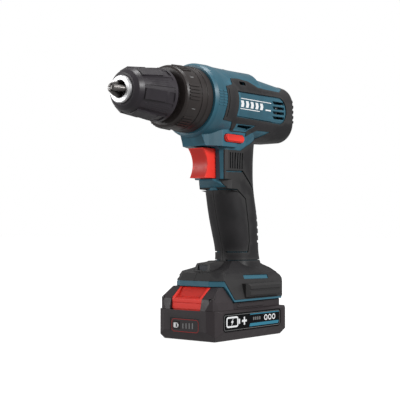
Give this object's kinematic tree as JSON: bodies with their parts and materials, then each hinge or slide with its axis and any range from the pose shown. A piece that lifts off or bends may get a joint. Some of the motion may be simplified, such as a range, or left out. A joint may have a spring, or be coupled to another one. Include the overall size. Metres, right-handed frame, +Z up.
{
  "type": "cordless drill driver",
  "caption": "Pistol-grip cordless drill driver standing on its slide-on battery, with keyless chuck, torque collar, gear selector, trigger and planetary gearbox inside.",
  "frame": {"origin": "on the floor, under the middle of the tool's overall box", "axes": "+X forward along the spindle, +Y the tool's left side, +Z up"},
  "size_m": [0.204, 0.064, 0.216],
  "materials": {
    "black_plastic": "satin moulded black",
    "board": "green circuit board",
    "carbon": "pressed carbon",
    "cell_sleeve": "shrink sleeve",
    "chuck_plastic": "satin black nylon",
    "clear_lens": "smoky moulded lens",
    "copper": "enamelled copper",
    "gear_steel": "sintered, oiled",
    "gearbox_metal": "die-cast",
    "housing_shell": "satin moulded teal",
    "magnet": "dark ferrite",
    "overmould": "fine matte texture",
    "red_plastic": "smooth red",
    "spring_steel": "drawn wire",
    "steel": "machined"
  },
  "bodies": {
    "housing": {"housing_left": "housing_shell", "housing_right": "housing_shell", "overmould_left": "overmould", "overmould_right": "overmould", "housing_screws": "steel", "foot_bumpers": "overmould", "work_light_lens": "clear_lens", "gearbox_case": "gearbox_metal", "motor_plate": "steel", "input_ring_gear": "gear_steel", "output_ring_gear": "gear_steel", "clutch_balls": "steel", "spindle_bearings": "gear_steel", "motor_can": "steel", "motor_magnets": "magnet", "motor_end_cap": "steel", "motor_brushes": "carbon", "switch_body": "black_plastic", "terminal_block": "black_plastic", "clutch_spring": "spring_steel", "trigger_spring": "spring_steel"},
    "collar": {"clutch_collar": "black_plastic"},
    "clutch_nut": {"clutch_nut": "gear_steel"},
    "spindle": {"output_spindle": "steel", "chuck_body": "steel", "chuck_screw": "steel"},
    "sleeve": {"chuck_sleeve": "chuck_plastic", "chuck_nut": "steel"},
    "jaw_1": {"chuck_jaw_1": "steel"},
    "jaw_2": {"chuck_jaw_2": "steel"},
    "jaw_3": {"chuck_jaw_3": "steel"},
    "carrier_1": {"first_carrier": "gear_steel"},
    "carrier_2": {"second_carrier": "gear_steel"},
    "rotor": {"rotor_shaft": "steel", "rotor_core": "steel", "rotor_windings": "copper", "commutator": "copper", "cooling_fan": "black_plastic", "motor_pinion": "gear_steel"},
    "speed_slide": {"shift_ring": "gear_steel", "shift_fork": "steel", "speed_selector": "black_plastic"},
    "trigger": {"trigger": "red_plastic"},
    "direction_button": {"direction_button": "red_plastic"},
    "pack": {"pack_tray": "black_plastic", "pack_cover": "black_plastic", "pack_cells": "cell_sleeve", "pack_board": "board", "latch_spring": "spring_steel"},
    "latch": {"pack_latch": "red_plastic"},
    "gauge_button": {"gauge_button": "black_plastic"},
    "planet_1a": {"planet_gear_1a": "gear_steel"},
    "planet_1b": {"planet_gear_1b": "gear_steel"},
    "planet_1c": {"planet_gear_1c": "gear_steel"},
    "planet_2a": {"planet_gear_2a": "gear_steel"},
    "planet_2b": {"planet_gear_2b": "gear_steel"},
    "planet_2c": {"planet_gear_2c": "gear_steel"},
    "planet_3a": {"planet_gear_3a": "gear_steel"},
    "planet_3b": {"planet_gear_3b": "gear_steel"},
    "planet_3c": {"planet_gear_3c": "gear_steel"}
  },
  "joints": [
    {"name": "collar_turn", "type": "hinge", "parent": "housing", "child": "collar", "pos_m": [0.03, 0, 0.1867], "axis": [1, 0, 0], "range_deg": [0, 270]},
    {"name": "clutch_nut_slide", "type": "slide", "parent": "collar", "child": "clutch_nut", "axis": [-1, 0, 0], "range_m": [0, 0.0045], "deforming": ["clutch_spring"]},
    {"name": "spindle_spin", "type": "hinge", "parent": "housing", "child": "spindle", "pos_m": [0.06, 0, 0.1867], "axis": [1, 0, 0], "continuous": true},
    {"name": "sleeve_turn", "type": "hinge", "parent": "spindle", "child": "sleeve", "pos_m": [0.07, 0, 0.1867], "axis": [1, 0, 0], "range_deg": [-360, 3240]},
    {"name": "jaw_1_slide", "type": "slide", "parent": "spindle", "child": "jaw_1", "axis": [-0.9659, 0.2588, 0], "range_m": [-0.00161, 0.01441]},
    {"name": "jaw_2_slide", "type": "slide", "parent": "spindle", "child": "jaw_2", "axis": [-0.9659, -0.1294, 0.2241], "range_m": [-0.00161, 0.01441]},
    {"name": "jaw_3_slide", "type": "slide", "parent": "spindle", "child": "jaw_3", "axis": [-0.9659, -0.1294, -0.2241], "range_m": [-0.00161, 0.01441]},
    {"name": "carrier_1_spin", "type": "hinge", "parent": "housing", "child": "carrier_1", "pos_m": [-0.016, 0, 0.1867], "axis": [1, 0, 0], "continuous": true},
    {"name": "carrier_2_spin", "type": "hinge", "parent": "housing", "child": "carrier_2", "pos_m": [-0.005, 0, 0.1867], "axis": [1, 0, 0], "continuous": true},
    {"name": "rotor_spin", "type": "hinge", "parent": "housing", "child": "rotor", "pos_m": [-0.056, 0, 0.1867], "axis": [1, 0, 0], "continuous": true},
    {"name": "planet_1a_spin", "type": "hinge", "parent": "carrier_1", "child": "planet_1a", "pos_m": [-0.0215, 0.0096, 0.1867], "axis": [1, 0, 0], "continuous": true},
    {"name": "planet_1b_spin", "type": "hinge", "parent": "carrier_1", "child": "planet_1b", "pos_m": [-0.0215, -0.0048, 0.19501], "axis": [1, 0, 0], "continuous": true},
    {"name": "planet_1c_spin", "type": "hinge", "parent": "carrier_1", "child": "planet_1c", "pos_m": [-0.0215, -0.0048, 0.17839], "axis": [1, 0, 0], "continuous": true},
    {"name": "planet_2a_spin", "type": "hinge", "parent": "carrier_2", "child": "planet_2a", "pos_m": [-0.0098, 0.0096, 0.1867], "axis": [1, 0, 0], "continuous": true},
    {"name": "planet_2b_spin", "type": "hinge", "parent": "carrier_2", "child": "planet_2b", "pos_m": [-0.0098, -0.0048, 0.19501], "axis": [1, 0, 0], "continuous": true},
    {"name": "planet_2c_spin", "type": "hinge", "parent": "carrier_2", "child": "planet_2c", "pos_m": [-0.0098, -0.0048, 0.17839], "axis": [1, 0, 0], "continuous": true},
    {"name": "planet_3a_spin", "type": "hinge", "parent": "spindle", "child": "planet_3a", "pos_m": [0.001, 0.0096, 0.1867], "axis": [1, 0, 0], "continuous": true},
    {"name": "planet_3b_spin", "type": "hinge", "parent": "spindle", "child": "planet_3b", "pos_m": [0.001, -0.0048, 0.19501], "axis": [1, 0, 0], "continuous": true},
    {"name": "planet_3c_spin", "type": "hinge", "parent": "spindle", "child": "planet_3c", "pos_m": [0.001, -0.0048, 0.17839], "axis": [1, 0, 0], "continuous": true},
    {"name": "speed_select", "type": "slide", "parent": "housing", "child": "speed_slide", "axis": [-1, 0, 0], "range_m": [0, 0.005]},
    {"name": "trigger_pull", "type": "slide", "parent": "housing", "child": "trigger", "axis": [-1, 0, 0], "range_m": [0, 0.007], "stiffness_N_per_m": 900, "springref_m": -0.002, "deforming": ["trigger_spring"]},
    {"name": "direction_push", "type": "slide", "parent": "housing", "child": "direction_button", "axis": [0, 1, 0], "range_m": [-0.003, 0.003]},
    {"name": "pack_slide", "type": "slide", "parent": "housing", "child": "pack", "axis": [1, 0, 0], "range_m": [0, 0.092]},
    {"name": "latch_press", "type": "slide", "parent": "pack", "child": "latch", "axis": [0, 0, -1], "range_m": [0, 0.004], "stiffness_N_per_m": 1200, "springref_m": -0.001, "deforming": ["latch_spring"]},
    {"name": "gauge_press", "type": "slide", "parent": "pack", "child": "gauge_button", "axis": [-1, 0, 0], "range_m": [0, 0.0008], "stiffness_N_per_m": 1500}
  ],
  "couplings": [
    {"joint": "carrier_2_spin", "follows": "spindle_spin", "ratio": 4},
    {"joint": "carrier_1_spin", "follows": "spindle_spin", "ratio": 16},
    {"joint": "rotor_spin", "follows": "spindle_spin", "ratio": 64},
    {"joint": "clutch_nut_slide", "follows": "collar_turn", "m_per_rad": 0.00095493},
    {"joint": "planet_1a_spin", "follows": "spindle_spin", "ratio": -48},
    {"joint": "planet_1b_spin", "follows": "spindle_spin", "ratio": -48},
    {"joint": "planet_1c_spin", "follows": "spindle_spin", "ratio": -48},
    {"joint": "planet_2a_spin", "follows": "spindle_spin", "ratio": -12},
    {"joint": "planet_2b_spin", "follows": "spindle_spin", "ratio": -12},
    {"joint": "planet_2c_spin", "follows": "spindle_spin", "ratio": -12},
    {"joint": "planet_3a_spin", "follows": "spindle_spin", "ratio": -3},
    {"joint": "planet_3b_spin", "follows": "spindle_spin", "ratio": -3},
    {"joint": "planet_3c_spin", "follows": "spindle_spin", "ratio": -3},
    {"joint": "jaw_1_slide", "follows": "sleeve_turn", "m_per_rad": 0.00025465},
    {"joint": "jaw_2_slide", "follows": "sleeve_turn", "m_per_rad": 0.00025465},
    {"joint": "jaw_3_slide", "follows": "sleeve_turn", "m_per_rad": 0.00025465}
  ]
}
